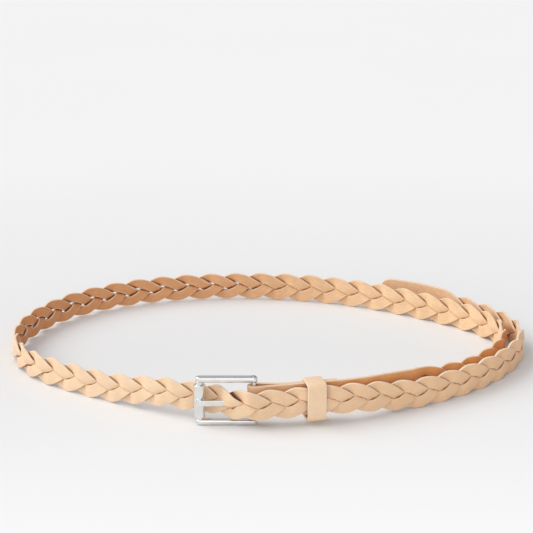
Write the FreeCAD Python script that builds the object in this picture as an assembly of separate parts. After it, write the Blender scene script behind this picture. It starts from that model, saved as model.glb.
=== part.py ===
import FreeCAD, Part
import bisect
import math
import os

# A three-strand braided leather belt, buckled into a loop and standing on its lower edge.
# Millimetres, +Z up. The origin is the middle of the footprint, on the surface it stands on.
# Plan sizes are first set about the middle of the loop; RECENTRE then moves the footprint's
# middle to the origin.

Vector = FreeCAD.Vector

# ---- driving dimensions ----
LEATHER = 1.8
STRAP_WIDTH = 18.0
BRAID_WIDTH = 15.0
STRAND_WIDTH = 5.8
NOMINAL_PERIOD = 46.0
EDGE_LEAN = 0.2
STRANDS = "abc"

FRAME_HEIGHT = 28.0
FRAME_BAR_HEIGHT = 3.2
FRAME_BAR_DEPTH = 4.4
FRAME_BAR_ROUND = 1.2
ROLLER_TO_PIVOT = 29.2
ROLLER_RADIUS = 3.15
ROLLER_LENGTH = 18.6
ROLLER_BAR_RADIUS = 1.8
PIVOT_RADIUS = 1.6
PIVOT_SHOULDER = 0.4
PIVOT_SUNK = 0.3
RUNNING_FIT = 0.07
PRONG_WIDTH = 3.2
PRONG_THICKNESS = 2.0
PRONG_SWING = 3.0
PRONG_ROUND = 0.45

KEEPER_WIDTH = 10.4
KEEPER_WALL = 1.5
KEEPER_AT = 32.4
KEEPER_GAP = 0.35
KEEPER_CORNER = 0.5

CHAPE_LENGTH = 94.0
FLAP_LENGTH = 46.0
FLAP_CLOSED_AT = 18.0
SLOT_LENGTH = 14.0
SLOT_BEHIND_PIVOT = 6.0
LAYER_GAP = 0.1
BODY_GAP = 0.3
CUT_GAP = 2.0

# Places at which the strap is cut between rigid bodies: in plan from the pivot for the first,
# along the strap beside the buckle for the next two, in plan from the loop's middle for the last.
LOOP_CUT = (-42.0, 9.0)
PIVOT_CUT = 1.5
TAIL_CUT = 51.0
END_CUT = (147.0, 5.0)

# ---- where the buckle sits ----
RECENTRE = (-0.1, -2.1)
PIVOT = (-7.8 + RECENTRE[0], -91.0 + RECENTRE[1])
STRAP_ANGLE = 12.3
BUCKLE_MID_Z = FRAME_HEIGHT / 2
BRAID_MID_Z = BRAID_WIDTH / 2 + EDGE_LEAN
ALONG = (math.cos(math.radians(STRAP_ANGLE)), math.sin(math.radians(STRAP_ANGLE)))
OUTWARD = (ALONG[1], -ALONG[0])

# ---- shape of the braid ----
# A strand swings across the braid once per period and passes over and under its neighbours
# twice. The weave terms are its height through the braid's thickness, and the twist terms
# lean it so that crossing strands lie flat on each other.
SWING = (BRAID_WIDTH - STRAND_WIDTH) / 2
WEAVE = {2: -1.85, 4: 0.25, 6: -0.54}
TWIST = {1: -0.10, 3: -0.17, 5: -0.14}
BRAID_THICKNESS = 5.8
TAB_SWING = STRAP_WIDTH / 3 / math.sin(math.radians(60))
TAB_BLEND = 11.0
TAB_LEAD = 8.0
START_SOFTNESS = 3.0
SQUARE_END = 5.0
PRONG_PUSH = 1.9
PRONG_PUSH_REACH = 5.0
PRONG_EXIT = (-11.9, -3.0)
TIP_TAB_LENGTH = 38.0
ROUTE_SPARE = 6.0
CLIMB = 50.0
LEVEL_LEAD = 4.0
CHAPE_LEVEL = 50.0
CHAPE_FALL = 90.0

# Distances from the pivot's axis, across the strap, of the chape's main layer and of the
# outer braid where they run side by side through the keeper.
FOLD_RADIUS = PIVOT_RADIUS + LAYER_GAP + LEATHER / 2
OUTER_OFFSET = FOLD_RADIUS + LEATHER / 2 + BODY_GAP + BRAID_THICKNESS / 2


def beside_buckle(r, n):
    """Plan point r along the strap from the pivot and n outward from it."""
    return (PIVOT[0] + ALONG[0] * r + OUTWARD[0] * n, PIVOT[1] + ALONG[1] * r + OUTWARD[1] * n)


def shifted(points):
    return [(x + RECENTRE[0], y + RECENTRE[1]) for x, y in points]


# Control points of the strap's plan line: the chape, the right end, the back, the left end and
# the front left, then behind the roller and over the pivot, through the keeper, and outside
# the first layer to the tip.
ROUTE_CONTROLS = (
    [beside_buckle(r, FOLD_RADIUS) for r in (-15, 0, 15, 30, 45, 57)]
    + shifted([
        (62, -73.5), (80, -62.5), (98, -49.5), (116, -34), (130, -14.5), (137.5, 7), (134, 29),
        (119.5, 47.5), (99, 63), (75, 78.5), (47, 92), (17, 99.8), (-14, 103), (-45, 101),
        (-74, 94.5), (-101, 82), (-124, 63), (-140, 38), (-147.3, 11), (-142.5, -13), (-128.5, -32),
        (-108, -47), (-88.5, -59), (-71.5, -70), (-57.5, -77.5), (-50, -80.8), (-43, -83.2),
        (-36, -84.4), (-29, -87.2), (-22, -92.8), (-15, -97.3), (-8, -98.5)])
    + [beside_buckle(r, OUTER_OFFSET) for r in (8, 15, 30, 45, 57)]
    + shifted([
        (66, -77), (83.5, -67.8), (99.6, -57.3), (114.5, -45.6), (128, -31.5), (139.5, -14), (147, 5),
        (145, 23), (135, 40), (122, 55), (108, 68.5), (95, 78.8), (81, 86.3), (63, 92.5),
        (45, 97.5)]))


def smooth(x):
    """Smooth step from 0 at x = 0 to 1 at x = 1."""
    x = min(max(x, 0.0), 1.0)
    return x * x * (3 - 2 * x)


def soft_ramp(x):
    """Zero for negative x and x for positive x, with a rounded corner."""
    return (x + math.hypot(x, START_SOFTNESS)) / 2


def spline_point(controls, t):
    """Point of the uniform cubic B-spline of the control points."""
    i = min(int(t), len(controls) - 4)
    u = t - i
    weights = ((1 - u) ** 3, 3 * u ** 3 - 6 * u ** 2 + 4, -3 * u ** 3 + 3 * u ** 2 + 3 * u + 1, u ** 3)
    return tuple(sum(w * controls[i + j][axis] for j, w in enumerate(weights)) / 6 for axis in (0, 1))


class Route:
    """The strap's plan line, measured along its length."""

    SAMPLES = 60

    def __init__(self, controls):
        spans = len(controls) - 3
        steps = spans * self.SAMPLES
        self.points = [spline_point(controls, spans * i / steps) for i in range(steps + 1)]
        self.lengths = [0.0]
        for a, b in zip(self.points, self.points[1:]):
            self.lengths.append(self.lengths[-1] + math.dist(a, b))

    def at(self, s):
        """Plan point at length s, and the unit direction of travel there."""
        i = min(max(bisect.bisect(self.lengths, s) - 1, 1), len(self.points) - 3)
        u = (s - self.lengths[i]) / (self.lengths[i + 1] - self.lengths[i])
        before, a, b, after = self.points[i - 1:i + 3]
        point = tuple(a[k] + (b[k] - a[k]) * u for k in (0, 1))
        heading = [(b[k] - before[k]) * (1 - u) + (after[k] - a[k]) * u for k in (0, 1)]
        size = math.hypot(*heading)
        return point, (heading[0] / size, heading[1] / size)

    def nearest(self, place, start=0.0):
        """Length, from start on, at which the line comes nearest to a plan point."""
        first = bisect.bisect(self.lengths, start)
        best = min(range(first, len(self.points)), key=lambda i: math.dist(self.points[i], place))
        return self.lengths[best]


ROUTE = Route(ROUTE_CONTROLS)

# ---- lengths along the strap at which things happen ----
PIVOT_LENGTH = ROUTE.nearest(beside_buckle(0, FOLD_RADIUS))
HALF_WAY = ROUTE.lengths[-1] / 2
PRONG_LENGTH = ROUTE.nearest((PIVOT[0] + PRONG_EXIT[0], PIVOT[1] + PRONG_EXIT[1]), HALF_WAY)
BRAID_START = PIVOT_LENGTH + CHAPE_LENGTH
WEAVE_START = BRAID_START + TAB_LEAD
THIRDS = round(3 * (PRONG_LENGTH - WEAVE_START) / NOMINAL_PERIOD - 0.75)
PERIOD = (PRONG_LENGTH - WEAVE_START) / (0.25 + THIRDS / 3)
TIP_END = ROUTE.lengths[-1] - ROUTE_SPARE
WEAVE_THIRDS = round(3 * (TIP_END - TIP_TAB_LENGTH - TAB_LEAD - WEAVE_START) / PERIOD)
WEAVE_END = WEAVE_START + PERIOD / 3 * WEAVE_THIRDS
BRAID_END = WEAVE_END + TAB_LEAD

CUT_LOOP = ROUTE.nearest((PIVOT[0] + LOOP_CUT[0], PIVOT[1] + LOOP_CUT[1]), HALF_WAY)
CUT_PIVOT = ROUTE.nearest(beside_buckle(PIVOT_CUT, OUTER_OFFSET), HALF_WAY)
CUT_TAIL = ROUTE.nearest(beside_buckle(TAIL_CUT, OUTER_OFFSET), HALF_WAY)
CUT_END = ROUTE.nearest((END_CUT[0] + RECENTRE[0], END_CUT[1] + RECENTRE[1]), CUT_TAIL)
RISE_START = CUT_LOOP - CLIMB
RISE_END = CUT_LOOP - LEVEL_LEAD
FALL_START = CUT_TAIL - LEVEL_LEAD
FALL_END = CUT_TAIL + CLIMB


def middle_height(s):
    """Height of the strap's middle: it rests on its edge, and rises to pass the buckle."""
    lift = BUCKLE_MID_Z - BRAID_MID_Z
    wider = (STRAP_WIDTH - BRAID_WIDTH) / 2
    chape = 1 - smooth((s - PIVOT_LENGTH - CHAPE_LEVEL) / CHAPE_FALL)
    chape_end = (1 - smooth((s - BRAID_START) / (2 * TAB_BLEND))) * (1 - chape)
    buckle = smooth((s - RISE_START) / (RISE_END - RISE_START))
    buckle -= smooth((s - FALL_START) / (FALL_END - FALL_START))
    tip = smooth((s - BRAID_END) / (2 * TAB_BLEND) + 1)
    return BRAID_MID_Z + lift * (chape + buckle) + wider * (chape_end + tip)


def place(s, n, z):
    """Point at length s along the strap, n outward from its middle and z up."""
    (x, y), (tx, ty) = ROUTE.at(s)
    return Vector(x + ty * n, y - tx * n, z)


def phase(strand, s):
    """A strand's place in its swing across the braid, in radians."""
    travelled = soft_ramp(s - WEAVE_START) - soft_ramp(s - WEAVE_END)
    return math.radians(60 + 120 * strand) + 2 * math.pi * travelled / PERIOD


def strand_point(strand, s, v, squareness):
    """Point of a strand's middle surface, v across it. A square end has an upright section."""
    angle = phase(strand, s)
    tab = 1 - smooth((s - BRAID_START) / TAB_BLEND) + smooth((s - BRAID_END) / TAB_BLEND + 1)
    swing = SWING + (TAB_SWING - SWING) * tab
    lean = math.atan(swing * math.cos(angle) * 2 * math.pi / PERIOD * (1 - tab))
    slant = 1 - squareness
    z = swing * math.sin(angle) + v * (slant * math.cos(lean) + squareness / math.cos(lean))
    n = sum(size * math.sin(k * angle) for k, size in WEAVE.items())
    n += v * sum(size * math.cos(k * angle) for k, size in TWIST.items())
    n -= PRONG_PUSH * math.cos(angle) * math.exp(-((s - PRONG_LENGTH) / PRONG_PUSH_REACH) ** 2)
    s_here = s - slant * v * math.sin(lean)
    return place(s_here, n * (1 - tab), z + middle_height(s_here))


def section(surface, s, half_width):
    """Four corners of a strip's section, from the point function of its middle surface."""
    step = 0.2
    corners = []
    for v in (-half_width, half_width):
        along = surface(s + step, v) - surface(s - step, v)
        across = surface(s, v + step) - surface(s, v - step)
        normal = along.cross(across).normalize() * (LEATHER / 2)
        middle = surface(s, v)
        corners += [middle - normal, middle + normal]
    return [corners[0], corners[1], corners[3], corners[2]]


def strip_solid(sections):
    """Solid through a row of four-cornered sections: four smooth ruled sides and two ends."""
    curves = []
    for corner in range(4):
        curve = Part.BSplineCurve()
        curve.interpolate(Points=[row[corner] for row in sections],
                          Parameters=[float(i) for i in range(len(sections))])
        curves.append(curve)
    faces = []
    for first, second in zip(curves, curves[1:] + curves[:1]):
        side = Part.BSplineSurface()
        side.buildFromPolesMultsKnots(
            [first.getPoles(), second.getPoles()], [2, 2], first.getMultiplicities(),
            [0.0, 1.0], first.getKnots(), False, False, 1, 3)
        faces.append(side.toShape())
    for row in (sections[0], sections[-1]):
        faces.append(Part.makeRuledSurface(Part.makeLine(row[0], row[1]), Part.makeLine(row[3], row[2])))
    shell = Part.makeShell(faces)
    shell.sewShape()
    return Part.makeSolid(shell)


def spread(start, end, spacing):
    """Evenly spaced values from start to end, about spacing apart."""
    count = max(2, math.ceil(abs(end - start) / spacing))
    return [start + (end - start) * i / count for i in range(count + 1)]


def strand(index, start, end):
    """One strand of the braid between two lengths, with square ends."""
    rows = []
    for s in spread(start, end, PERIOD / 18):
        squareness = 1 - smooth(min(s - start, end - s) / SQUARE_END)
        rows.append(section(lambda t, v: strand_point(index, t, v, squareness), s, STRAND_WIDTH / 2))
    return strip_solid(rows)


# ---- chape: the folded buckle end of the strap ----

def flap_offset(r):
    """Distance of the folded-back flap from the pivot's axis, across the strap."""
    beside_main = FOLD_RADIUS - LEATHER - LAYER_GAP
    return -FOLD_RADIUS + (beside_main + FOLD_RADIUS) * smooth(r / FLAP_CLOSED_AT)


def chape_rows():
    """Sections of the chape: the flap's end, back to the fold, round the bar, then outward."""
    def row(x, y, nx, ny, z_mid):
        half = LEATHER / 2
        low, high = z_mid - STRAP_WIDTH / 2, z_mid + STRAP_WIDTH / 2
        inner, outer = (x - nx * half, y - ny * half), (x + nx * half, y + ny * half)
        return [Vector(*inner, low), Vector(*outer, low), Vector(*outer, high), Vector(*inner, high)]

    rows = []
    for r in spread(FLAP_LENGTH, 1.5, 2.5):
        tilt = (flap_offset(r + 0.1) - flap_offset(r - 0.1)) / 0.2
        nx, ny = -OUTWARD[0] + ALONG[0] * tilt, -OUTWARD[1] + ALONG[1] * tilt
        size = math.hypot(nx, ny)
        rows.append(row(*beside_buckle(r, flap_offset(r)), nx / size, ny / size, BUCKLE_MID_Z))
    for turn in spread(0, math.pi, 0.3):
        nx = -OUTWARD[0] * math.cos(turn) - ALONG[0] * math.sin(turn)
        ny = -OUTWARD[1] * math.cos(turn) - ALONG[1] * math.sin(turn)
        rows.append(row(PIVOT[0] + nx * FOLD_RADIUS, PIVOT[1] + ny * FOLD_RADIUS, nx, ny, BUCKLE_MID_Z))
    for s in spread(PIVOT_LENGTH + 2.5, BRAID_START, 3.0):
        (x, y), (tx, ty) = ROUTE.at(s)
        rows.append(row(x, y, ty, -tx, middle_height(s)))
    return rows


def chape():
    """Smooth strap folded round the pivot bar, with a slot for the prong's ring."""
    depth = 2 * (FOLD_RADIUS + LEATHER)
    height = PRONG_WIDTH + 1.4
    slot = Part.makeBox(SLOT_LENGTH, depth, height)
    slot.translate(Vector(PIVOT[0] - SLOT_BEHIND_PIVOT, PIVOT[1] - depth / 2, BUCKLE_MID_Z - height / 2))
    return strip_solid(chape_rows()).cut(slot)


def on_buckle_line(shape):
    """Turn a shape modelled with X along the strap and -Y outward, and put it at the pivot."""
    shape.rotate(Vector(0, 0, 0), Vector(0, 0, 1), STRAP_ANGLE)
    shape.translate(Vector(*PIVOT, 0))
    return shape


def chape_stitches():
    """Two rows of thread through both layers of the fold, each side of the keeper."""
    rows_at = (20.0, 43.0)
    per_row = 4
    thread = 0.45
    pitch = 3.2
    length = pitch - 1.0
    front = FOLD_RADIUS + LEATHER / 2 - thread / 2
    back = FOLD_RADIUS - 1.5 * LEATHER - LAYER_GAP + thread / 2
    stitches = []
    for r in rows_at:
        for i in range(per_row):
            z = BUCKLE_MID_Z + (i - per_row / 2) * pitch + (pitch - length) / 2
            faces = [Part.makeCylinder(thread, length, Vector(r, -n, z)) for n in (front, back)]
            through = Part.makeCylinder(thread, front - back, Vector(r, -front, z), Vector(0, 1, 0))
            stitches.append(through.fuse(faces))
    return on_buckle_line(Part.makeCompound(stitches))


def tip_tab():
    """Smooth end of the strap with rounded corners."""
    corner = 6.0
    rows = []
    for s in spread(BRAID_END, TIP_END - corner, 3.0)[:-1] + spread(TIP_END - corner, TIP_END, 0.5):
        left = TIP_END - s
        inset = corner - math.sqrt(max(corner ** 2 - max(corner - left, 0.0) ** 2, 0.0))
        surface = lambda t, v: place(t, 0, middle_height(t) + v)
        rows.append(section(surface, s, STRAP_WIDTH / 2 - inset))
    return strip_solid(rows)


# ---- buckle ----

def side_bar(z):
    """One side of the frame, rounded, from the roller's corner to the eye on the pivot bar."""
    bar = Part.makeBox(ROLLER_TO_PIVOT, FRAME_BAR_DEPTH, FRAME_BAR_HEIGHT)
    bar.translate(Vector(-ROLLER_TO_PIVOT, -FRAME_BAR_DEPTH / 2, z))
    ends = [Part.makeCylinder(FRAME_BAR_DEPTH / 2, FRAME_BAR_HEIGHT, Vector(x, 0, z))
            for x in (-ROLLER_TO_PIVOT, 0)]
    side = bar.fuse(ends).removeSplitter()
    return side.makeFillet(FRAME_BAR_ROUND, [e for e in side.Edges if e.BoundBox.ZLength < 0.01])


def buckle_frame():
    """U-shaped frame: the roller's bar and two sides, each with an eye for the pivot bar."""
    top = FRAME_HEIGHT - FRAME_BAR_HEIGHT
    bar = Part.makeCylinder(ROLLER_BAR_RADIUS, top, Vector(-ROLLER_TO_PIVOT, 0, FRAME_BAR_HEIGHT / 2))
    frame = bar.fuse([side_bar(0.0), side_bar(top)])
    frame = frame.cut(Part.makeCylinder(PIVOT_RADIUS - PIVOT_SHOULDER, FRAME_HEIGHT))
    frame.translate(Vector(*PIVOT, 0))
    return frame.removeSplitter()


def pivot_bar():
    """Pin between the two eyes, its ends turned down, pushed through and headed over."""
    inner = FRAME_HEIGHT - 2 * FRAME_BAR_HEIGHT
    pin = Part.makeCylinder(PIVOT_RADIUS, inner, Vector(0, 0, FRAME_BAR_HEIGHT))
    spigot = Part.makeCylinder(PIVOT_RADIUS - PIVOT_SHOULDER, FRAME_HEIGHT - PIVOT_SUNK,
                               Vector(0, 0, PIVOT_SUNK))
    pin = pin.fuse(spigot).removeSplitter()
    pin.translate(Vector(*PIVOT, 0))
    return pin


def roller():
    """Tube that turns on the frame's far bar."""
    base = Vector(PIVOT[0] - ROLLER_TO_PIVOT, PIVOT[1], BUCKLE_MID_Z - ROLLER_LENGTH / 2)
    tube = Part.makeCylinder(ROLLER_RADIUS, ROLLER_LENGTH, base)
    tube = tube.makeFillet(0.4, [e for e in tube.Edges if e.BoundBox.ZLength < 0.01])
    return tube.cut(Part.makeCylinder(ROLLER_BAR_RADIUS + RUNNING_FIT, ROLLER_LENGTH, base))


# The prong's middle line in the buckle's own frame: it leaves the front of its ring on the
# pivot bar, rests across the front of the roller and dips a little beyond it.
PRONG_RING_WALL = 1.8
PRONG_ON_ROLLER = 0.12
PRONG_OVERHANG = 2.2
PRONG_DIP = 0.62
PRONG_ROOT = (0.0, -(PIVOT_RADIUS + PRONG_RING_WALL / 2))
PRONG_REST = (-ROLLER_TO_PIVOT, -(ROLLER_RADIUS + PRONG_THICKNESS / 2 + PRONG_ON_ROLLER))
PRONG_TIP = (PRONG_REST[0] - PRONG_OVERHANG, PRONG_REST[1] + PRONG_DIP)


def prism(outline, z, height):
    """Upright prism on a plan outline."""
    wire = Part.makePolygon([Vector(x, y, z) for x, y in outline + outline[:1]])
    return Part.Face(wire).extrude(Vector(0, 0, height))


def prong_blank(grow, swing):
    """Plan outline of the prong's arm, grown all round and swept through its swing."""
    half = PRONG_THICKNESS / 2 + grow
    lift = math.tan(math.radians(swing)) * ROLLER_TO_PIVOT
    thinner = PRONG_THICKNESS / 4
    return [(PRONG_ROOT[0], PRONG_ROOT[1] + half),
            (PRONG_REST[0] + ROLLER_RADIUS, PRONG_REST[1] + half),
            (PRONG_REST[0], PRONG_REST[1] + half),
            (PRONG_TIP[0] - grow, PRONG_TIP[1] + half - thinner),
            (PRONG_TIP[0] - grow, PRONG_TIP[1] - half + thinner - lift),
            (PRONG_REST[0], PRONG_REST[1] - half - lift),
            (PRONG_ROOT[0], PRONG_ROOT[1] - half)]


def prong():
    """Ring on the pivot bar with an arm that lies across the roller."""
    low = BUCKLE_MID_Z - PRONG_WIDTH / 2
    ring = Part.makeCylinder(PIVOT_RADIUS + PRONG_RING_WALL, PRONG_WIDTH, Vector(0, 0, low))
    arm = prism(prong_blank(0.0, 0.0), low, PRONG_WIDTH)
    long_edges = [e for e in arm.Edges
                  if e.BoundBox.ZLength < 0.01 and e.BoundBox.XLength > ROLLER_TO_PIVOT / 2]
    arm = arm.makeFillet(PRONG_ROUND, long_edges)
    body = ring.fuse(arm).cut(Part.makeCylinder(PIVOT_RADIUS + RUNNING_FIT, FRAME_HEIGHT))
    body.translate(Vector(*PIVOT, 0))
    return body


def prong_pocket():
    """Room for the prong between the strands, over its whole swing."""
    clear = BODY_GAP
    height = PRONG_WIDTH + 2 * clear
    pocket = prism(prong_blank(clear, PRONG_SWING), BUCKLE_MID_Z - height / 2, height)
    pocket.translate(Vector(*PIVOT, 0))
    return pocket


# ---- keeper ----

KEEPER_INSIDE = FOLD_RADIUS - 1.5 * LEATHER - LAYER_GAP - KEEPER_GAP
KEEPER_OUTSIDE = OUTER_OFFSET + BRAID_THICKNESS / 2 + KEEPER_GAP
KEEPER_INNER_HEIGHT = STRAP_WIDTH + 2 * KEEPER_GAP


def keeper_ring(grow):
    """Rounded block across the strap, the size of the keeper's inside grown all round."""
    depth = KEEPER_OUTSIDE - KEEPER_INSIDE + 2 * grow
    height = KEEPER_INNER_HEIGHT + 2 * grow
    block = Part.makeBox(KEEPER_WIDTH, depth, height)
    block.translate(Vector(KEEPER_AT - KEEPER_WIDTH / 2, -KEEPER_OUTSIDE - grow,
                           BUCKLE_MID_Z - height / 2))
    lengthwise = [e for e in block.Edges if e.BoundBox.XLength > KEEPER_WIDTH - 0.01]
    return block.makeFillet(KEEPER_CORNER + grow, lengthwise)


def keeper_loop():
    """Leather loop round both layers of the strap."""
    return on_buckle_line(keeper_ring(KEEPER_WALL).cut(keeper_ring(0.0)))


def keeper_staple():
    """Wire staple that closes the keeper on the side worn against the body."""
    wire = 0.4
    length = 5.0
    leg = 1.2
    back = KEEPER_INSIDE - KEEPER_WALL
    z = BUCKLE_MID_Z - length / 2
    crown = Part.makeCylinder(wire, length, Vector(KEEPER_AT, -back, z))
    legs = [Part.makeCylinder(wire, leg, Vector(KEEPER_AT, -back, end), Vector(0, -1, 0))
            for end in (z, z + length)]
    return on_buckle_line(crown.fuse(legs))


def build():
    """Every piece of the belt by name."""
    pieces = {
        "chape": chape(), "chape_stitches": chape_stitches(), "tip_tab": tip_tab(),
        "buckle_frame": buckle_frame(), "pivot_bar": pivot_bar(), "roller": roller(),
        "prong": prong(), "keeper_loop": keeper_loop(), "keeper_staple": keeper_staple()}
    spans = {
        "loop": (BRAID_START, CUT_LOOP - CUT_GAP / 2),
        "threaded": (CUT_LOOP + CUT_GAP / 2, CUT_PIVOT - CUT_GAP / 2),
        "held": (CUT_PIVOT + CUT_GAP / 2, CUT_TAIL - CUT_GAP / 2),
        "tail_front": (CUT_TAIL + CUT_GAP / 2, CUT_END - CUT_GAP / 2),
        "tail_end": (CUT_END + CUT_GAP / 2, BRAID_END)}
    pocket = prong_pocket()
    for span, (start, end) in spans.items():
        for index, letter in enumerate(STRANDS):
            shape = strand(index, start, end)
            if span == "threaded":
                shape = shape.cut(pocket)
            pieces[span + "_strand_" + letter] = shape
    return pieces


def main():
    os.makedirs("parts", exist_ok=True)
    pieces = build()
    box = Part.makeCompound(list(pieces.values())).BoundBox
    print("box", [round(v, 2) for v in (box.XMin, box.XMax, box.YMin, box.YMax, box.ZMin, box.ZMax)])
    print("strap length", round(TIP_END - PIVOT_LENGTH, 1))
    print("tail hinges", ROUTE.at(CUT_TAIL)[0], ROUTE.at(CUT_END)[0])
    for name, shape in pieces.items():
        print(name, "valid", shape.isValid(), "solids", len(shape.Solids), "volume", round(shape.Volume, 1))
        shape.exportStep("parts/" + name + ".step")


main()
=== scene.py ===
import bisect
import math

import bmesh
import bpy
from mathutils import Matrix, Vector
from mathutils.bvhtree import BVHTree


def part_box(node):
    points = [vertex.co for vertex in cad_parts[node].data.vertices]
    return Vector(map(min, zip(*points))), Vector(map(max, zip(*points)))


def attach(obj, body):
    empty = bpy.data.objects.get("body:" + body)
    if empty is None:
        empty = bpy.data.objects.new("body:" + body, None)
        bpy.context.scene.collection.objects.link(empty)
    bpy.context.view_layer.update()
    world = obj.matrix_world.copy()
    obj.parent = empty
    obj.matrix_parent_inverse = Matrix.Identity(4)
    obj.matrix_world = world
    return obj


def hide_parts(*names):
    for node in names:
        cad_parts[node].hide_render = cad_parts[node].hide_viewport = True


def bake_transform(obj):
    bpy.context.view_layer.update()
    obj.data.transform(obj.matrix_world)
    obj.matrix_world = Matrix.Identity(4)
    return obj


# A braided leather belt, buckled into a standing loop. Lengths are in millimetres, as in the
# CAD model, and turn into metres only where a mesh, lamp or camera is made.

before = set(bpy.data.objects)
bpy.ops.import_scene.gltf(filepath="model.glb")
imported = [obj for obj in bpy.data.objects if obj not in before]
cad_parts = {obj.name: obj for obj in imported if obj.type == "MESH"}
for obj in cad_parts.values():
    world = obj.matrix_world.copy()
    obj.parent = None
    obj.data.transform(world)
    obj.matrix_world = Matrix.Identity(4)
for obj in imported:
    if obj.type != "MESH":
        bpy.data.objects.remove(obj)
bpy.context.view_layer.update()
MM = 0.001


def box_mm(node):
    """Lowest and highest corners of a CAD node, in millimetres."""
    low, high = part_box(node)
    return [c / MM for c in low], [c / MM for c in high]


def middle_of(node):
    low, high = box_mm(node)
    return [(a + b) / 2 for a, b in zip(low, high)]


# ---- sizes that repeat the CAD model's driving dimensions ----
LEATHER = 1.8
STRAP_WIDTH = 18.0
BRAID_WIDTH = 15.0
EDGE_LEAN = 0.2
NOMINAL_PERIOD = 46.0
STRANDS = "abc"
PIVOT_RADIUS = 1.6
KEEPER_AT = 32.4
KEEPER_WIDTH = 10.4
KEEPER_WALL = 1.5
KEEPER_GAP = 0.35
CHAPE_LENGTH = 94.0
FLAP_LENGTH = 46.0
LAYER_GAP = 0.1
BODY_GAP = 0.3
STRAP_ANGLE = 12.3
FLAP_CLOSED_AT = 18.0
CHAPE_LEVEL = 50.0
CHAPE_FALL = 90.0
SLOT_LENGTH = 14.0
SLOT_CENTRE = 1.0
SLOT_DEPTH = 9.0
SLOT_HEIGHT = 4.6
TIP_TAB_LENGTH = 38.0
TIP_CORNER = 6.5
ROUTE_SPARE = 6.0
CLIMB = 50.0
LEVEL_LEAD = 4.0

# ---- places read from the frame ----
PIVOT = middle_of("pivot_bar")[:2]
ROLLER = middle_of("roller")
PIVOT_IN_PLAN = (-7.8, -91.0)
RECENTRE = (PIVOT[0] - PIVOT_IN_PLAN[0], PIVOT[1] - PIVOT_IN_PLAN[1])
BUCKLE_MID_Z = middle_of("buckle_frame")[2]
BRAID_MID_Z = BRAID_WIDTH / 2 + EDGE_LEAN
ALONG = (math.cos(math.radians(STRAP_ANGLE)), math.sin(math.radians(STRAP_ANGLE)))
OUTWARD = (ALONG[1], -ALONG[0])

# ---- shape of the braid ----
# The visible strands are thinner and wider than the CAD ones, so that they lie flatter and
# close the braid as pressed leather does. SWING is how far a strand travels up and down across
# the braid. WEAVE is how far it goes in and out, and TWIST how its section tilts, each as sizes
# of the swing's harmonics. At the prong's exit, PRONG_PUSH moves the strands off the prong.
SWING = 5.1
WEAVE = {2: -1.25, 4: 0.05, 6: -0.10}
TWIST = {1: -0.05, 3: -0.11, 5: -0.06}
STRAND_WIDTH = 6.9
STRAND_THICKNESS = 1.3
EDGE_ROUND = 0.3
CROWN = 0.2
TAB_EDGE_ROUND = 0.15
PLAIN_EDGE_ROUND = 0.4
LOOSE_NARROWING = 1.15
LOOSE_LEAD = 45.0
LOOSE_FADE = 60.0
FLOOR_LIFT = 0.9
BUCKLE_DROP = 0.5
BRAID_THICKNESS = 5.8
TAB_SWING = STRAP_WIDTH / 3 / math.sin(math.radians(60))
TAB_BLEND = 9.0
TAB_LEAD = 8.0
START_SOFTNESS = 3.0
PRONG_PUSH = 1.9
PRONG_PUSH_REACH = 5.0

FOLD_RADIUS = PIVOT_RADIUS + LAYER_GAP + LEATHER / 2
OUTER_OFFSET = FOLD_RADIUS + LEATHER / 2 + BODY_GAP + BRAID_THICKNESS / 2

# Spacing of the sections along a strip, the step that measures its direction, and how far a
# strand's cut end goes into the smooth leather.
STATION = 0.9
DIRECTION_STEP = 0.15
END_OVERLAP = 0.4


def beside_buckle(r, n):
    """Plan point r along the strap from the pivot and n outward from it."""
    return (PIVOT[0] + ALONG[0] * r + OUTWARD[0] * n, PIVOT[1] + ALONG[1] * r + OUTWARD[1] * n)


def shifted(points):
    return [(x + RECENTRE[0], y + RECENTRE[1]) for x, y in points]


# Control points of the strap's plan line, the same as the CAD model's.
ROUTE_CONTROLS = (
    [beside_buckle(r, FOLD_RADIUS) for r in (-15, 0, 15, 30, 45, 57)]
    + shifted([
        (62, -73.5), (80, -62.5), (98, -49.5), (116, -34), (130, -14.5), (137.5, 7), (134, 29),
        (119.5, 47.5), (99, 63), (75, 78.5), (47, 92), (17, 99.8), (-14, 103), (-45, 101),
        (-74, 94.5), (-101, 82), (-124, 63), (-140, 38), (-147.3, 11), (-142.5, -13), (-128.5, -32),
        (-108, -47), (-88.5, -59), (-71.5, -70), (-57.5, -77.5), (-50, -80.8), (-43, -83.2),
        (-36, -84.4), (-29, -87.2), (-22, -92.8), (-15, -97.3), (-8, -98.5)])
    + [beside_buckle(r, OUTER_OFFSET) for r in (8, 15, 30, 45, 57)]
    + shifted([
        (66, -77), (83.5, -67.8), (99.6, -57.3), (114.5, -45.6), (128, -31.5), (139.5, -14), (147, 5),
        (145, 23), (135, 40), (122, 55), (108, 68.5), (95, 78.8), (81, 86.3), (63, 92.5),
        (45, 97.5)]))


def smooth(x):
    """Smooth step from 0 at x = 0 to 1 at x = 1."""
    x = min(max(x, 0.0), 1.0)
    return x * x * (3 - 2 * x)


def soft_ramp(x):
    """Zero for negative x and x for positive x, with a rounded corner."""
    return (x + math.hypot(x, START_SOFTNESS)) / 2


def spline_point(controls, t):
    """Point of the uniform cubic B-spline of the control points."""
    i = min(int(t), len(controls) - 4)
    u = t - i
    weights = ((1 - u) ** 3, 3 * u ** 3 - 6 * u ** 2 + 4, -3 * u ** 3 + 3 * u ** 2 + 3 * u + 1, u ** 3)
    return tuple(sum(w * controls[i + j][axis] for j, w in enumerate(weights)) / 6
                 for axis in (0, 1))


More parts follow.
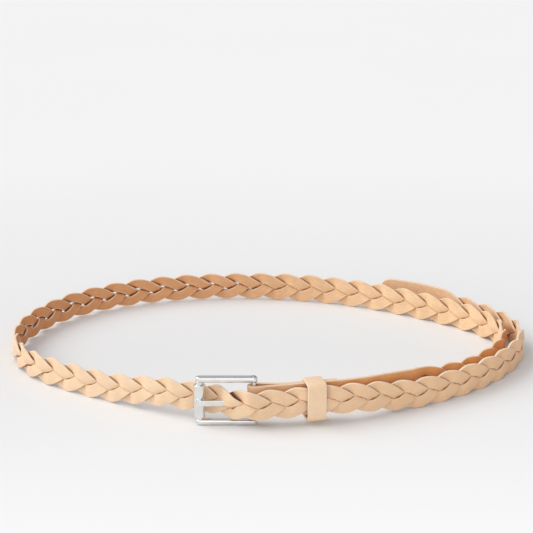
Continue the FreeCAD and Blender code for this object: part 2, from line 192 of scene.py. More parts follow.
class Route:
    """The strap's plan line, measured along its length."""

    SAMPLES = 60

    def __init__(self, controls):
        spans = len(controls) - 3
        steps = spans * self.SAMPLES
        self.points = [spline_point(controls, spans * i / steps) for i in range(steps + 1)]
        self.lengths = [0.0]
        for a, b in zip(self.points, self.points[1:]):
            self.lengths.append(self.lengths[-1] + math.dist(a, b))

    def at(self, s):
        """Plan point at length s, and the unit direction of travel there."""
        i = min(max(bisect.bisect(self.lengths, s) - 1, 1), len(self.points) - 3)
        u = (s - self.lengths[i]) / (self.lengths[i + 1] - self.lengths[i])
        before, a, b, after = self.points[i - 1:i + 3]
        point = tuple(a[k] + (b[k] - a[k]) * u for k in (0, 1))
        heading = [(b[k] - before[k]) * (1 - u) + (after[k] - a[k]) * u for k in (0, 1)]
        size = math.hypot(*heading)
        return point, (heading[0] / size, heading[1] / size)

    def nearest(self, place, start=0.0):
        """Length, from start on, at which the line comes nearest to a plan point."""
        first = bisect.bisect(self.lengths, start)
        best = min(range(first, len(self.points)), key=lambda i: math.dist(self.points[i], place))
        return self.lengths[best]


ROUTE = Route(ROUTE_CONTROLS)

# ---- lengths along the strap at which things happen ----
PIVOT_LENGTH = ROUTE.nearest(beside_buckle(0, FOLD_RADIUS))
HALF_WAY = ROUTE.lengths[-1] / 2
PRONG_EXIT = (PIVOT[0] - 11.9, PIVOT[1] - 3.0)
PRONG_LENGTH = ROUTE.nearest(PRONG_EXIT, HALF_WAY)
BRAID_START = PIVOT_LENGTH + CHAPE_LENGTH
WEAVE_START = BRAID_START + TAB_LEAD
THIRDS = round(3 * (PRONG_LENGTH - WEAVE_START) / NOMINAL_PERIOD - 0.75)
PERIOD = (PRONG_LENGTH - WEAVE_START) / (0.25 + THIRDS / 3)
TIP_END = ROUTE.lengths[-1] - ROUTE_SPARE
WEAVE_THIRDS = round(3 * (TIP_END - TIP_TAB_LENGTH - TAB_LEAD - WEAVE_START) / PERIOD)
WEAVE_END = WEAVE_START + PERIOD / 3 * WEAVE_THIRDS
BRAID_END = WEAVE_END + TAB_LEAD

CUT_LOOP = ROUTE.nearest((PIVOT[0] - 42.0, PIVOT[1] + 9.0), HALF_WAY)
CUT_TAIL = ROUTE.nearest(beside_buckle(51.0, OUTER_OFFSET), HALF_WAY)
RISE_START = CUT_LOOP - CLIMB
RISE_END = CUT_LOOP - LEVEL_LEAD
FALL_START = CUT_TAIL - LEVEL_LEAD
FALL_END = CUT_TAIL + CLIMB

# The visible strands are cut into spans: on the front left, behind the roller, inside the keeper,
# and before the right end.
CUT_END = ROUTE.nearest((147 + RECENTRE[0], 5 + RECENTRE[1]), CUT_TAIL)
CUT_LEAD = CUT_LOOP - 62.0
CUT_ROLLER = ROUTE.nearest((ROLLER[0], ROLLER[1] + 6.3), HALF_WAY)
CUT_KEEPER = ROUTE.nearest(beside_buckle(KEEPER_AT, OUTER_OFFSET), HALF_WAY)
CUT_CURL = ROUTE.nearest((133 + RECENTRE[0], -24 + RECENTRE[1]), CUT_TAIL)

# The braid is a little looser round the left end, so that light shows between the strands.
LOOSE_START = ROUTE.nearest((-14 + RECENTRE[0], 103 + RECENTRE[1]))
LOOSE_END = ROUTE.nearest((-144 + RECENTRE[0], -5 + RECENTRE[1]))


def at_buckle(s):
    """How far the strap is lifted to the buckle's height: 1 there and 0 on the floor."""
    rise = smooth((s - RISE_START) / (RISE_END - RISE_START))
    fall = smooth((s - FALL_START) / (FALL_END - FALL_START))
    return rise - fall


def middle_height(s):
    """Height of the strap's middle: it rests on its edge, and rises to pass the buckle."""
    lift = BUCKLE_MID_Z - BRAID_MID_Z
    wider = (STRAP_WIDTH - BRAID_WIDTH) / 2
    chape = 1 - smooth((s - PIVOT_LENGTH - CHAPE_LEVEL) / CHAPE_FALL)
    chape_end = (1 - smooth((s - BRAID_START) / (2 * TAB_BLEND))) * (1 - chape)
    tip = smooth((s - BRAID_END) / (2 * TAB_BLEND) + 1)
    return BRAID_MID_Z + lift * (chape + at_buckle(s)) + wider * (chape_end + tip)


def place(s, n, z):
    """Point at length s along the strap, n outward from its middle and z up."""
    (x, y), (tx, ty) = ROUTE.at(s)
    return Vector((x + ty * n, y - tx * n, z))


def phase(strand, s):
    """A strand's place in its swing across the braid, in radians."""
    travelled = soft_ramp(s - WEAVE_START) - soft_ramp(s - WEAVE_END)
    return math.radians(60 + 120 * strand) + 2 * math.pi * travelled / PERIOD


def tab_share(s):
    """How far the strands still lie side by side in a tab: 1 in the tab and 0 in the braid."""
    return 1 - smooth((s - BRAID_START) / TAB_BLEND) + smooth((s - BRAID_END) / TAB_BLEND + 1)


def strand_offset(angle, tab, v):
    """A strand's place from the middle line: along it, outward and up, v across the strand."""
    swing = SWING + (TAB_SWING - SWING) * tab
    lean = math.atan(swing * math.cos(angle) * 2 * math.pi / PERIOD * (1 - tab))
    n = sum(size * math.sin(k * angle) for k, size in WEAVE.items())
    n += v * sum(size * math.cos(k * angle) for k, size in TWIST.items())
    return -v * math.sin(lean), n * (1 - tab), swing * math.sin(angle) + v * math.cos(lean)


def strand_point(strand, s, v):
    """Point of a strand's middle surface, v across it."""
    angle = phase(strand, s)
    tab = tab_share(s)
    along, n, z = strand_offset(angle, tab, v)
    n -= PRONG_PUSH * math.cos(angle) * math.exp(-((s - PRONG_LENGTH) / PRONG_PUSH_REACH) ** 2)
    raised = FLOOR_LIFT - (FLOOR_LIFT + BUCKLE_DROP) * at_buckle(s)
    return place(s + along, n, z + middle_height(s + along) + raised * (1 - tab))


def strand_profile(s):
    """A strand's section: full and crowned in the braid, flush with the strap in a tab."""
    tab = tab_share(s)
    loosening = smooth((s - LOOSE_START + LOOSE_LEAD) / LOOSE_FADE)
    slack = LOOSE_NARROWING * (loosening - smooth((s - LOOSE_END) / LOOSE_FADE))
    width = STRAND_WIDTH - slack + (STRAP_WIDTH / 3 - STRAND_WIDTH) * tab
    thickness = STRAND_THICKNESS + (LEATHER - STRAND_THICKNESS) * tab
    edge_round = EDGE_ROUND - (EDGE_ROUND - TAB_EDGE_ROUND) * tab
    return strip_profile(width, thickness, edge_round, CROWN * (1 - tab))


# ---- mesh tools ----

def spread(start, end, spacing):
    """Evenly spaced values from start to end, about spacing apart."""
    count = max(2, math.ceil(abs(end - start) / spacing))
    return [start + (end - start) * i / count for i in range(count + 1)]


def strip_profile(width, thickness, edge_round, crown):
    """Section of a cut strip: (across, through, kind) points, once round.

    The kind is 0 on the outer grain face, 1 on the inner flesh face and 2 on a cut edge."""
    half, deep = width / 2, thickness / 2
    flat = half - edge_round
    steps = [flat * math.sin(math.pi / 2 * k / 4) for k in range(-4, 5)]
    turn = [math.radians(a) for a in (22, 45, 68)]
    corner = [(edge_round * math.sin(a), edge_round * (1 - math.cos(a))) for a in turn]
    far_corner = [(edge_round * math.cos(a), edge_round * (1 - math.sin(a))) for a in turn]

    def skin(v, side):
        return side * (deep + (crown * (1 - (v / half) ** 2) if side > 0 else 0.0))

    points = [(v, skin(v, 1), 0) for v in steps]
    rise = skin(flat, 1)
    points += [(flat + out, rise - step, 2) for out, step in corner]
    points += [(flat + out, -deep + step, 2) for out, step in far_corner]
    points += [(v, skin(v, -1), 1) for v in reversed(steps)]
    points += [(-flat - out, -deep + step, 2) for out, step in corner]
    points += [(-flat - out, rise - step, 2) for out, step in far_corner]
    return points


def section_ring(surface, s, profile):
    """Points of a section round a middle surface given as surface(s, v)."""
    step = DIRECTION_STEP
    ring = []
    for v, through, _ in profile:
        along = surface(s + step, v) - surface(s - step, v)
        across = surface(s, v + step) - surface(s, v - step)
        ring.append(surface(s, v) + along.cross(across).normalized() * through)
    return ring


def sweep(name, surface, stations, profile_at, materials, closed=False, u_start=0.0, painted_shade=None):
    """Mesh of a strip: its section swept along a middle surface given as surface(s, v).

    UV runs along the strip and round its section in metres, so grain follows the leather. The
    shade attribute is 1 where a place is closed in by its neighbours; the leathers darken it as
    painted shade."""
    rings = [section_ring(surface, s, profile_at(s)) for s in stations]
    kinds = [kind for _, _, kind in profile_at(stations[0])]
    size = len(kinds)
    girth = [0.0]
    for a, b in zip(rings[len(rings) // 2], rings[len(rings) // 2][1:]):
        girth.append(girth[-1] + (b - a).length)
    girth.append(girth[-1] + 0.5)
    vertices = [point * MM for ring in rings for point in ring]
    faces, kinds_of, uvs = [], [], []
    count = len(rings)
    for i in range(count if closed else count - 1):
        j = (i + 1) % count
        s_i, s_j = stations[i], stations[i] + (stations[1] - stations[0])
        for k in range(size):
            m = (k + 1) % size
            faces.append((i * size + k, j * size + k, j * size + m, i * size + m))
            kinds_of.append(kinds[k] if kinds[k] == kinds[m] else 2)
            corners = ((s_i, girth[k]), (s_j, girth[k]), (s_j, girth[k + 1]), (s_i, girth[k + 1]))
            uvs += [(u_start + u, w) for u, w in corners]
    if not closed:
        for ring in (0, count - 1):
            corners = [ring * size + k for k in range(size)]
            if ring:
                corners.reverse()
            faces.append(tuple(corners))
            kinds_of.append(2)
            uvs += [(u_start + stations[ring], girth[k % size]) for k in range(size)]
    mesh = bpy.data.meshes.new(name)
    mesh.from_pydata(vertices, [], faces)
    layer = mesh.uv_layers.new(name="Along")
    for loop, (u, w) in zip(layer.data, uvs):
        loop.uv = (u * MM, w * MM)
    # Painted shade: each vertex carries how closed in it is, and the leather materials darken it.
    if painted_shade:
        shade = mesh.attributes.new("painted_shade", "FLOAT", "POINT")
        shade.data.foreach_set("value", [painted_shade(s, k) for s in stations for k in range(size)])
    for material in materials:
        mesh.materials.append(material)
    for polygon, kind in zip(mesh.polygons, kinds_of):
        polygon.material_index = kind
        polygon.use_smooth = True
    tidy = bmesh.new()
    tidy.from_mesh(mesh)
    bmesh.ops.recalc_face_normals(tidy, faces=tidy.faces)
    tidy.to_mesh(mesh)
    tidy.free()
    mesh.set_sharp_from_angle(angle=math.radians(50))
    piece = bpy.data.objects.new(name, mesh)
    bpy.context.collection.objects.link(piece)
    return piece


# ---- how closed in each place on a strand is, for the painted shade in its crevices ----

# The table has OPEN_STEPS steps in a period. From each place OPEN_RAYS rays go out from
# OPEN_START above the surface, and leather nearer than OPEN_REACH closes the place in.
OPEN_STEPS = 36
OPEN_REACH = 5.0
OPEN_RAYS = 40
OPEN_START = 0.08


def open_directions(count):
    """Directions spread over a half sphere, more of them near its top."""
    golden = math.pi * (3 - math.sqrt(5))
    directions = []
    for i in range(count):
        share = (i + 0.5) / count
        flat = math.sqrt(share)
        directions.append(Vector((flat * math.cos(i * golden), flat * math.sin(i * golden),
                                  math.sqrt(1 - share))))
    return directions


def straight_strand(strand):
    """Middle surface of one strand of an endless straight braid."""
    def surface(s, v):
        along, n, z = strand_offset(2 * math.pi * (s / PERIOD + strand / 3), 0.0, v)
        return Vector((s + along, -n, z))
    return surface


def painted_shade_table():
    """Share of the sky hidden by leather, at each step of a period and each point of a section."""
    profile = strip_profile(STRAND_WIDTH, STRAND_THICKNESS, EDGE_ROUND, CROWN)
    size = len(profile)
    points, faces = [], []
    for strand in range(3):
        rings = [section_ring(straight_strand(strand), s, profile)
                 for s in spread(-0.6 * PERIOD, 1.6 * PERIOD, 1.0)]
        for i in range(len(rings) - 1):
            first = len(points) + i * size
            for k in range(size):
                m = (k + 1) % size
                faces.append((first + k, first + size + k, first + size + m, first + m))
        points += [point for ring in rings for point in ring]
    tree = BVHTree.FromPolygons(points, faces)
    surface = straight_strand(0)
    directions = open_directions(OPEN_RAYS)
    table = []
    for i in range(OPEN_STEPS):
        s = PERIOD * i / OPEN_STEPS
        ring = section_ring(surface, s, profile)
        travel = (surface(s + 0.2, 0) - surface(s - 0.2, 0)).normalized()
        row = []
        for k in range(size):
            side = (ring[(k + 1) % size] - ring[k - 1]).normalized()
            normal = travel.cross(side).normalized()
            hidden = 0.0
            for spot in directions:
                ray = side * spot.x + travel * spot.y + normal * spot.z
                distance = tree.ray_cast(ring[k] + normal * OPEN_START, ray, OPEN_REACH)[3]
                if distance is not None:
                    hidden += 1 - distance / OPEN_REACH
            row.append(hidden / len(directions))
        table.append(row)
    return table


# Painted shade for the crevices between strands, from one period of a straight braid.
PAINTED_SHADE_TABLE = painted_shade_table()


def strand_painted_shade(strand, s, k):
    """Value of the painted shade table for a strand at length s, read between its steps."""
    step = phase(strand, s) / (2 * math.pi) * OPEN_STEPS
    i, part = int(step), step % 1
    here, after = PAINTED_SHADE_TABLE[i % OPEN_STEPS][k], PAINTED_SHADE_TABLE[(i + 1) % OPEN_STEPS][k]
    return (here + (after - here) * part) * (1 - tab_share(s))


# ---- materials ----

class Nodes:
    """Short ways to make and join shader nodes."""

    def __init__(self, name):
        self.material = bpy.data.materials.new(name)
        self.material.use_nodes = True
        self.tree = self.material.node_tree
        self.shader = self.tree.nodes["Principled BSDF"]

    def add(self, kind, **values):
        node = self.tree.nodes.new("ShaderNode" + kind)
        for key, value in values.items():
            if hasattr(node, key):
                setattr(node, key, value)
            else:
                node.inputs[key.replace("_", " ").title()].default_value = value
        return node

    def link(self, source, target):
        self.tree.links.new(source, target)

    def noise(self, vector, scale, detail=4.0, roughness=0.55):
        node = self.add("TexNoise", scale=scale, detail=detail, roughness=roughness)
        self.link(vector, node.inputs["Vector"])
        return node.outputs["Fac"]

    def ramp(self, factor, stops):
        node = self.add("ValToRGB")
        elements = node.color_ramp.elements
        while len(elements) < len(stops):
            elements.new(0.5)
        for element, (position, colour) in zip(elements, stops):
            element.position = position
            element.color = (*colour, 1.0)
        self.link(factor, node.inputs["Fac"])
        return node.outputs["Color"]

    def mix(self, kind, factor, first, second):
        node = self.add("MixRGB", blend_type=kind)
        for value, socket in ((factor, "Fac"), (first, "Color1"), (second, "Color2")):
            if isinstance(value, bpy.types.NodeSocket):
                self.link(value, node.inputs[socket])
            elif isinstance(value, tuple):
                node.inputs[socket].default_value = (*value, 1.0)
            else:
                node.inputs[socket].default_value = value
        return node.outputs["Color"]

    def bump(self, height, strength, distance, normal=None):
        node = self.add("Bump", strength=strength, distance=distance)
        self.link(height, node.inputs["Height"])
        if normal is not None:
            self.link(normal, node.inputs["Normal"])
        return node.outputs["Normal"]


def linear(r, g, b):
    """Linear colour of an 8-bit sRGB one."""
    def channel(c):
        c /= 255
        return c / 12.92 if c <= 0.04045 else ((c + 0.055) / 1.055) ** 2.4
    return (channel(r), channel(g), channel(b))


def leather(name, deep, pale, shade_drift, fibre, grain, rough):
    """Leather: painted light and shade change its tone along the strap, fibre runs along it,
    and crevices are darkened with painted shade.

    The shade drift argument lists (length in mm, tone): tone 0 gives the deep colour, where the
    strap is painted as shaded, and 1 the pale colour, where it is painted as lit."""
    nodes = Nodes(name)
    uv = nodes.add("UVMap", uv_map="Along").outputs["UV"]
    stretched = nodes.add("Mapping", scale=(1.0, 5.0, 1.0))
    nodes.link(uv, stretched.inputs["Vector"])
    where = nodes.add("TexCoord").outputs["Object"]
    clouds = nodes.noise(where, 55.0, 3.0)
    streaks = nodes.noise(stretched.outputs["Vector"], 260.0, 5.0, 0.6)
    pores = nodes.noise(uv, 2600.0, 2.0, 0.5)
    split = nodes.add("SeparateXYZ")
    nodes.link(uv, split.inputs["Vector"])
    length = nodes.add("MapRange")
    length.inputs["From Max"].default_value = ROUTE.lengths[-1] * MM
    nodes.link(split.outputs["X"], length.inputs["Value"])
    stops = [(s / ROUTE.lengths[-1], (shade_tone,) * 3) for s, shade_tone in shade_drift]
    shade_tone = nodes.ramp(length.outputs["Result"], stops)
    # Painted light and shade: the ramp mixes from the deep, shaded colour to the pale, lit one.
    colour = nodes.mix("MIX", shade_tone, deep, pale)
    mottle = nodes.ramp(clouds, [(0.30, (0.90, 0.87, 0.84)), (0.70, (1.0, 1.0, 1.0))])
    colour = nodes.mix("MULTIPLY", 0.8, colour, mottle)
    shade = nodes.ramp(streaks, [(0.30, (0.80, 0.74, 0.68)), (0.60, (1.0, 1.0, 1.0))])
    colour = nodes.mix("MULTIPLY", fibre, colour, shade)
    speck = nodes.ramp(pores, [(0.28, (0.78, 0.68, 0.58)), (0.42, (1.0, 1.0, 1.0))])
    colour = nodes.mix("MULTIPLY", grain, colour, speck)
    # Painted shade: places closed in by neighbouring strands are darkened towards reddish brown.
    shade_amount = nodes.add("Attribute", attribute_name="painted_shade").outputs["Fac"]
    shade_colour = nodes.ramp(shade_amount, [(0.24, (1.0, 1.0, 1.0)), (0.46, (0.74, 0.53, 0.34)),
                                  (0.72, (0.30, 0.13, 0.05))])
    colour = nodes.mix("MULTIPLY", 0.95, colour, shade_colour)
    nodes.link(colour, nodes.shader.inputs["Base Color"])
    low, high = rough
    roughness = nodes.ramp(streaks, [(0.3, (high,) * 3), (0.7, (low,) * 3)])
    nodes.link(roughness, nodes.shader.inputs["Roughness"])
    normal = nodes.bump(pores, 0.35 * grain + 0.15, 0.00012)
    normal = nodes.bump(streaks, 0.5 * fibre + 0.1, 0.00025, normal)
    nodes.link(normal, nodes.shader.inputs["Normal"])
    nodes.shader.inputs["Specular IOR Level"].default_value = 0.35
    nodes.shader.inputs["Sheen Weight"].default_value = 0.08
    nodes.shader.inputs["Sheen Roughness"].default_value = 0.5
    return nodes.material


def polished_metal(name, tint, roughness):
    """Plated metal with fine polishing marks."""
    nodes = Nodes(name)
    where = nodes.add("TexCoord").outputs["Object"]
    marks = nodes.add("Mapping", scale=(1.0, 1.0, 9.0))
    nodes.link(where, marks.inputs["Vector"])
    fine = nodes.noise(marks.outputs["Vector"], 900.0, 3.0)
    clouds = nodes.noise(where, 160.0, 2.0)
    darker = tuple(0.88 * c for c in tint)
    nodes.link(nodes.ramp(clouds, [(0.3, darker), (0.7, tint)]), nodes.shader.inputs["Base Color"])
    spread_of = nodes.ramp(fine, [(0.3, (roughness * 1.6,) * 3), (0.7, (roughness * 0.7,) * 3)])
    nodes.link(spread_of, nodes.shader.inputs["Roughness"])
    nodes.link(nodes.bump(fine, 0.08, 0.00004), nodes.shader.inputs["Normal"])
    nodes.shader.inputs["Metallic"].default_value = 1.0
    return nodes.material


def waxed_thread():
    """Waxed thread with a fine twist."""
    nodes = Nodes("waxed_thread")
    where = nodes.add("TexCoord").outputs["Object"]
    twist = nodes.noise(where, 2200.0, 3.0)
    nodes.link(nodes.ramp(twist, [(0.35, linear(190, 150, 108)), (0.65, linear(232, 202, 164))]),
               nodes.shader.inputs["Base Color"])
    nodes.shader.inputs["Roughness"].default_value = 0.55
    nodes.link(nodes.bump(twist, 0.5, 0.0001), nodes.shader.inputs["Normal"])
    return nodes.material


# Painted light and shade along the strap: tones are deep where a stretch lies in shade, such as the
# chape behind the braid and the inner face at the back left, and pale where it is lit. The keeper
# reads its tone from a pale, lit stretch.
KEEPER_LIT_TONE_AT = HALF_WAY + 60
GRAIN = leather(
    "leather_grain", linear(234, 157, 78), linear(247, 219, 186),
    [(0, 0.7), (CHAPE_LENGTH / 2, 0.2), (CHAPE_LENGTH + 110, 0.1), (HALF_WAY, 0.85),
     (CUT_LOOP - 40, 0.95), (CUT_LOOP + 40, 0.85), (CUT_TAIL, 0.75), (CUT_END, 0.6),
     (TIP_END, 0.8)],
    0.30, 0.35, (0.42, 0.62))
FLESH = leather(
    "leather_flesh", linear(208, 126, 60), linear(251, 216, 175),
    [(0, 0.5), (CHAPE_LENGTH + 60, 0.9), (LOOSE_START - 90, 1.0), (LOOSE_START + 30, 0.4),
     (LOOSE_END, 0.2), (CUT_TAIL, 0.5), (TIP_END - 60, 1.0)],
    0.65, 0.7, (0.78, 0.95))
CUT_EDGE = leather(
    "leather_cut_edge", linear(228, 182, 138), linear(246, 226, 202),
    [(0, 0.7), (LOOSE_START, 0.6), (HALF_WAY, 0.9), (CUT_TAIL, 0.9), (TIP_END, 0.8)],
    0.45, 0.4, (0.7, 0.9))
LEATHERS = (GRAIN, FLESH, CUT_EDGE)
METAL = polished_metal("buckle_metal", (0.84, 0.84, 0.83), 0.10)


# ---- strap pieces ----

def make_strand(index, span, start, end):
    """One visible strand between two lengths along the strap."""
    return sweep("leather_" + span + "_" + STRANDS[index], lambda s, v: strand_point(index, s, v),
                 spread(start, end, STATION), strand_profile, LEATHERS,
                 painted_shade=lambda s, k: strand_painted_shade(index, s, k))


def make_strands():
    """The three strands, each cut into its spans along the strap."""
    spans = {
        "loop": (BRAID_START - END_OVERLAP, CUT_LEAD), "lead": (CUT_LEAD, CUT_ROLLER),
        "threaded": (CUT_ROLLER, CUT_KEEPER), "tail_front": (CUT_KEEPER, CUT_CURL),
        "tail_end": (CUT_CURL, BRAID_END + END_OVERLAP)}
    stands_for = {
        "loop": ["loop_strand_"], "lead": ["loop_strand_"],
        "threaded": ["threaded_strand_", "held_strand_"],
        "tail_front": ["tail_front_strand_"], "tail_end": ["tail_end_strand_"]}
    for span, (start, end) in spans.items():
        for index, letter in enumerate(STRANDS):
            piece = make_strand(index, span, start, end)
            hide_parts(*[stem + letter for stem in stands_for[span]])
            if span == "loop":
                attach(piece, "strap")
            elif span == "lead":
                bend(piece, CUT_LEAD + 4, CUT_LOOP + 2)
            elif span == "threaded":
                bend(piece, CUT_KEEPER - 38, CUT_KEEPER - 20)
            elif span == "tail_front":
                bend(piece, CUT_KEEPER + 8, CUT_KEEPER + 60)
            else:
                bend(piece, CUT_CURL + 5, CUT_CURL + 55)


def bend(piece, start, end):
    """Bake a piece's placement into its mesh; the two lengths along the strap give end points that
    nothing uses.
    """
    ends = [place(s, 0, middle_height(s)) * MM for s in (start, end)]
    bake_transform(piece)


def flap_offset(r):
    """Distance of the folded-back flap from the pivot's axis, across the strap."""
    beside_main = FOLD_RADIUS - LEATHER - LAYER_GAP
    return -FOLD_RADIUS + (beside_main + FOLD_RADIUS) * smooth(r / FLAP_CLOSED_AT)


class FoldedLine:
    """The chape's plan line: from the flap's end to the fold, round the bar and on outward."""

    TURN = math.pi * FOLD_RADIUS

    def point(self, d):
        """Plan point at distance d, which is 0 at the fold's middle and negative on the flap."""
        if d < -self.TURN / 2:
            r = -d - self.TURN / 2
            return beside_buckle(r, flap_offset(r))
        if d < self.TURN / 2:
            turn = d / FOLD_RADIUS
            r, n = -FOLD_RADIUS * math.cos(turn), FOLD_RADIUS * math.sin(turn)
            return beside_buckle(r, n)
        return ROUTE.at(PIVOT_LENGTH + d - self.TURN / 2)[0]

    def height(self, d):
        return middle_height(PIVOT_LENGTH + max(d - self.TURN / 2, 0.0))

    def surface(self, d, v):
        x, y = self.point(d)
        return Vector((x, y, self.height(d) + v))


def make_chape():
    """Smooth strap folded round the pivot bar, with a slot for the prong's ring."""
    line = FoldedLine()
    start = -line.TURN / 2 - FLAP_LENGTH
    end = line.TURN / 2 + BRAID_START - PIVOT_LENGTH
    profile = strip_profile(STRAP_WIDTH, LEATHER, PLAIN_EDGE_ROUND, 0.0)
    piece = sweep("leather_chape", line.surface, spread(start, end, 0.8), lambda s: profile, LEATHERS,
                  u_start=PIVOT_LENGTH)
    cutter_mesh = bpy.data.meshes.new("slot_cutter")
    shape = bmesh.new()
    size = Vector((SLOT_LENGTH, SLOT_DEPTH, SLOT_HEIGHT)) * MM
    middle = Vector((PIVOT[0] + SLOT_CENTRE, PIVOT[1], BUCKLE_MID_Z)) * MM
    bmesh.ops.create_cube(shape, size=1.0)
    bmesh.ops.scale(shape, vec=size, verts=shape.verts)
    bmesh.ops.translate(shape, vec=middle, verts=shape.verts)
    shape.to_mesh(cutter_mesh)
    shape.free()
    cutter = bpy.data.objects.new("slot_cutter", cutter_mesh)
    bpy.context.collection.objects.link(cutter)
    cut = piece.modifiers.new("slot", "BOOLEAN")
    cut.operation = "DIFFERENCE"
    cut.solver = "EXACT"
    cut.object = cutter
    apply_modifiers(piece)
    bpy.data.objects.remove(cutter)
    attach(piece, "strap")
    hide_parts("chape")


def apply_modifiers(piece):
    """Replace a piece's mesh by what its modifiers make of it."""
    bpy.context.view_layer.update()
    evaluated = piece.evaluated_get(bpy.context.evaluated_depsgraph_get())
    mesh = bpy.data.meshes.new_from_object(evaluated)
    piece.modifiers.clear()
    piece.data = mesh


def make_tip_tab():
    """Smooth end of the strap with rounded corners."""
    corner = TIP_CORNER
    full = strip_profile(STRAP_WIDTH, LEATHER, PLAIN_EDGE_ROUND, 0.0)

    def profile_at(s):
        left = TIP_END - s
        inset = corner - math.sqrt(max(corner ** 2 - max(corner - left, 0.0) ** 2, 0.0))
        width = STRAP_WIDTH - 2 * inset
        return [(v * width / STRAP_WIDTH, through, kind) for v, through, kind in full]

    stations = spread(BRAID_END, TIP_END - corner, STATION)[:-1]
    stations += [TIP_END - corner + corner * math.sin(math.pi / 2 * k / 14) for k in range(15)]
    piece = sweep("leather_tip_tab", lambda s, v: place(s, 0, middle_height(s) + v), stations,
                  profile_at, LEATHERS)
    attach(piece, "tail_end")
    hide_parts("tip_tab")


def make_keeper():
    """Leather loop: a strip bent round both layers of the strap, with rounded corners."""
    low, high = box_mm("keeper_loop")
    height = high[2] - low[2] - KEEPER_WALL
    inside = FOLD_RADIUS - 1.5 * LEATHER - LAYER_GAP - KEEPER_GAP
    outside = OUTER_OFFSET + BRAID_THICKNESS / 2 + KEEPER_GAP
    depth = outside - inside + KEEPER_WALL
    centre_n = (inside + outside) / 2
    corner = 2.1
    straight_z, straight_n = height - 2 * corner, depth - 2 * corner
    arc = math.pi * corner / 2
    total = 2 * (straight_z + straight_n) + 4 * arc

    def outline(d):
        """(n, z) of the loop's middle line, d round it, from the middle of the outer side."""
        d = (d + straight_z / 2) % total
        sides = ((straight_z, 0), (straight_n, 1), (straight_z, 2), (straight_n, 3))
        corners = ((1, 1), (-1, 1), (-1, -1), (1, -1))
        for (length, side), (cn, cz) in zip(sides, corners):
            if d <= length:
                run = d - length / 2
                places = ((depth / 2, run), (-run, height / 2),
                          (-depth / 2, -run), (run, -height / 2))
                return places[side]
            d -= length
            if d <= arc:
                turn = d / corner + side * math.pi / 2
                return (cn * straight_n / 2 + corner * math.cos(turn),
                        cz * straight_z / 2 + corner * math.sin(turn))
            d -= arc
        return (depth / 2, -straight_z / 2)

    def surface(d, v):
        n, z = outline(d)
        skew = 0.5 * n / depth
        x, y = beside_buckle(KEEPER_AT - v + skew, centre_n + n)
        return Vector((x, y, BUCKLE_MID_Z + z))

    profile = strip_profile(KEEPER_WIDTH, KEEPER_WALL, 0.35, 0.25)
    stations = spread(0.0, total, 0.5)[:-1]
    piece = sweep("leather_keeper", surface, stations, lambda s: profile, LEATHERS, closed=True,
                  u_start=KEEPER_LIT_TONE_AT)
    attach(piece, "keeper")
    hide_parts("keeper_loop")


def lathe(name, profile, centre, material):
    """Turned metal piece: (radius, height) points spun round an upright axis."""
    sides = 48
    vertices, faces = [], []
    for radius, z in profile:
        for i in range(sides):
            turn = 2 * math.pi * i / sides
            vertices.append(Vector((centre[0] + radius * math.cos(turn),
                                    centre[1] + radius * math.sin(turn), z)) * MM)
    for ring in range(len(profile) - 1):
        for i in range(sides):
            j = (i + 1) % sides
            first = ring * sides
            faces.append((first + i, first + j, first + sides + j, first + sides + i))
    faces.append(tuple(reversed(range(sides))))
    faces.append(tuple(range(len(vertices) - sides, len(vertices))))
    mesh = bpy.data.meshes.new(name)
    mesh.from_pydata(vertices, [], faces)
    mesh.materials.append(material)
    for polygon in mesh.polygons:
        polygon.use_smooth = True
    mesh.set_sharp_from_angle(angle=math.radians(35))
    piece = bpy.data.objects.new(name, mesh)
    bpy.context.collection.objects.link(piece)
    return piece


PIN_IN_BAR = PIVOT_RADIUS - 0.45
PIN_NECK = PIVOT_RADIUS - 1.05
PIN_HEAD = PIVOT_RADIUS - 0.95
SIDE_BAR = 3.0
GROOVE_DEPTH = 1.0
HEAD_SUNK = 0.25
HEAD_CROWN = 0.3


def make_pivot_pin():
    """Pin through the frame's two eyes, with a domed head at each end in a ring of painted shade."""
    low, high = box_mm("buckle_frame")
    outer = (high[2] - low[2]) / 2
    inner = outer - SIDE_BAR
    ledge = outer - GROOVE_DEPTH
    rim = outer - HEAD_SUNK
    half = [(PIVOT_RADIUS, inner - 0.2), (PIN_IN_BAR, inner), (PIN_IN_BAR, ledge),
            (PIN_NECK, ledge), (PIN_NECK, rim - 0.1), (PIN_HEAD, rim - 0.05)]
    half += [(PIN_HEAD * math.cos(math.radians(a)), rim + HEAD_CROWN * math.sin(math.radians(a)))
             for a in range(0, 90, 15)]
    middle = (low[2] + high[2]) / 2
    profile = [(r, middle - h) for r, h in reversed(half)] + [(r, middle + h) for r, h in half]
    piece = lathe("riveted_pivot_pin", profile, PIVOT, METAL)
    # Painted shade: the groove round each head gets a near-black metal so it reads as a shadowed ring.
    piece.data.materials.append(polished_metal("painted_groove_shade", (0.10, 0.10, 0.10), 0.45))
    for polygon in piece.data.polygons:
        height = abs(polygon.center.z / MM - middle)
        if ledge - 0.01 < height < rim - 0.07:
            polygon.material_index = 1
    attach(piece, "buckle")
    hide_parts("pivot_bar")


def dress_small_pieces():
    """Finish for the CAD pieces that keep their shape."""
    thread = waxed_thread()
    wire = polished_metal("staple_wire", (0.62, 0.62, 0.61), 0.28)
    finishes = {"buckle_frame": METAL, "roller": METAL, "prong": METAL,
                "keeper_staple": wire, "chape_stitches": thread}
    for node, material in finishes.items():
        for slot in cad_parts[node].material_slots:
            slot.material = material


# ---- stage ----

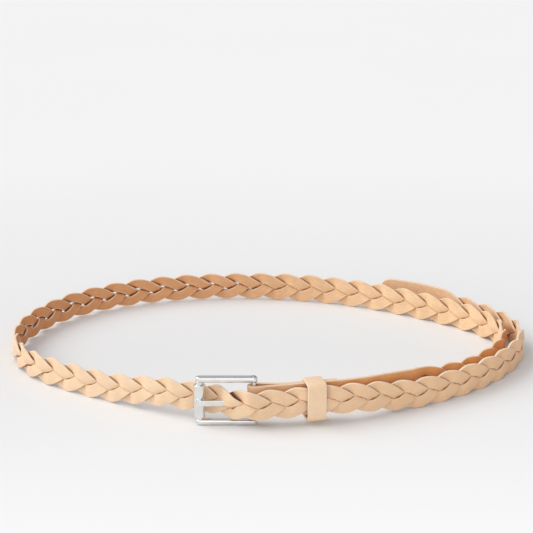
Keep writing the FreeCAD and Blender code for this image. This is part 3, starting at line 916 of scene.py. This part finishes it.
def make_floor():
    """Pale paper sweep, with painted light at the front and painted shade in the middle distance."""
    nodes = Nodes("pale_floor")
    where = nodes.add("TexCoord").outputs["Object"]
    mottle = nodes.noise(where, 3.0, 2.0)
    split = nodes.add("SeparateXYZ")
    nodes.link(where, split.inputs["Vector"])
    depth = nodes.add("MapRange")
    depth.inputs["From Min"].default_value = -0.6
    depth.inputs["From Max"].default_value = 1.0
    nodes.link(split.outputs["Y"], depth.inputs["Value"])
    # Painted light and shade: brighter near the camera, darker round the belt, a little lighter
    # further back.
    shade_tone = nodes.ramp(depth.outputs["Result"], [
        (0.16, (0.98, 0.98, 0.98)), (0.25, (0.89, 0.893, 0.90)), (0.38, (0.785, 0.787, 0.793)),
        (0.60, (0.865, 0.866, 0.875))])
    soft = nodes.ramp(mottle, [(0.3, (0.985, 0.985, 0.985)), (0.7, (1.0, 1.0, 1.0))])
    nodes.link(nodes.mix("MULTIPLY", 1.0, shade_tone, soft), nodes.shader.inputs["Base Color"])
    nodes.shader.inputs["Roughness"].default_value = 0.9
    nodes.shader.inputs["Specular IOR Level"].default_value = 0.15
    mesh = bpy.data.meshes.new("floor")
    half = 6.0
    mesh.from_pydata([(-half, -half, 0), (half, -half, 0), (half, half, 0), (-half, half, 0)], [],
                     [(0, 1, 2, 3)])
    mesh.materials.append(nodes.material)
    floor = bpy.data.objects.new("floor", mesh)
    bpy.context.collection.objects.link(floor)


def sun_light(name, travel, energy, softness, colour):
    """Even light travelling one way, softness its width in degrees."""
    data = bpy.data.lights.new(name, "SUN")
    data.energy = energy
    data.angle = math.radians(softness)
    data.color = colour
    lamp = bpy.data.objects.new(name, data)
    lamp.rotation_euler = Vector(travel).to_track_quat("-Z", "Y").to_euler()
    bpy.context.collection.objects.link(lamp)


def make_lights():
    sun_light("window", (0.80, -0.10, -0.76), 1.80, 50, (1.0, 0.985, 0.965))
    sun_light("front_fill", (0.15, 0.82, -0.52), 0.84, 70, (1.0, 0.99, 0.98))
    world = bpy.data.worlds.new("studio")
    world.use_nodes = True
    background = world.node_tree.nodes["Background"]
    background.inputs["Color"].default_value = (0.98, 0.988, 1.0, 1.0)
    background.inputs["Strength"].default_value = 0.53
    bpy.context.scene.world = world
    bpy.context.scene.view_settings.view_transform = "Standard"


def make_camera():
    """Camera looking down on the belt from in front, with the belt below the middle."""
    distance = 1445.0
    elevation = math.radians(22.0)
    pitch = math.radians(19.84)
    data = bpy.data.cameras.new("camera")
    data.sensor_width = 36.0
    data.lens = 169.5
    data.clip_end = 50.0
    camera = bpy.data.objects.new("camera", data)
    camera.location = Vector((RECENTRE[0] - 0.9, RECENTRE[1] - distance * math.cos(elevation),
                              distance * math.sin(elevation))) * MM
    camera.rotation_euler = (math.pi / 2 - pitch, 0, 0)
    bpy.context.collection.objects.link(camera)
    bpy.context.scene.camera = camera


make_camera()
make_strands()
make_chape()
make_tip_tab()
make_keeper()
make_pivot_pin()
dress_small_pieces()
make_floor()
make_lights()
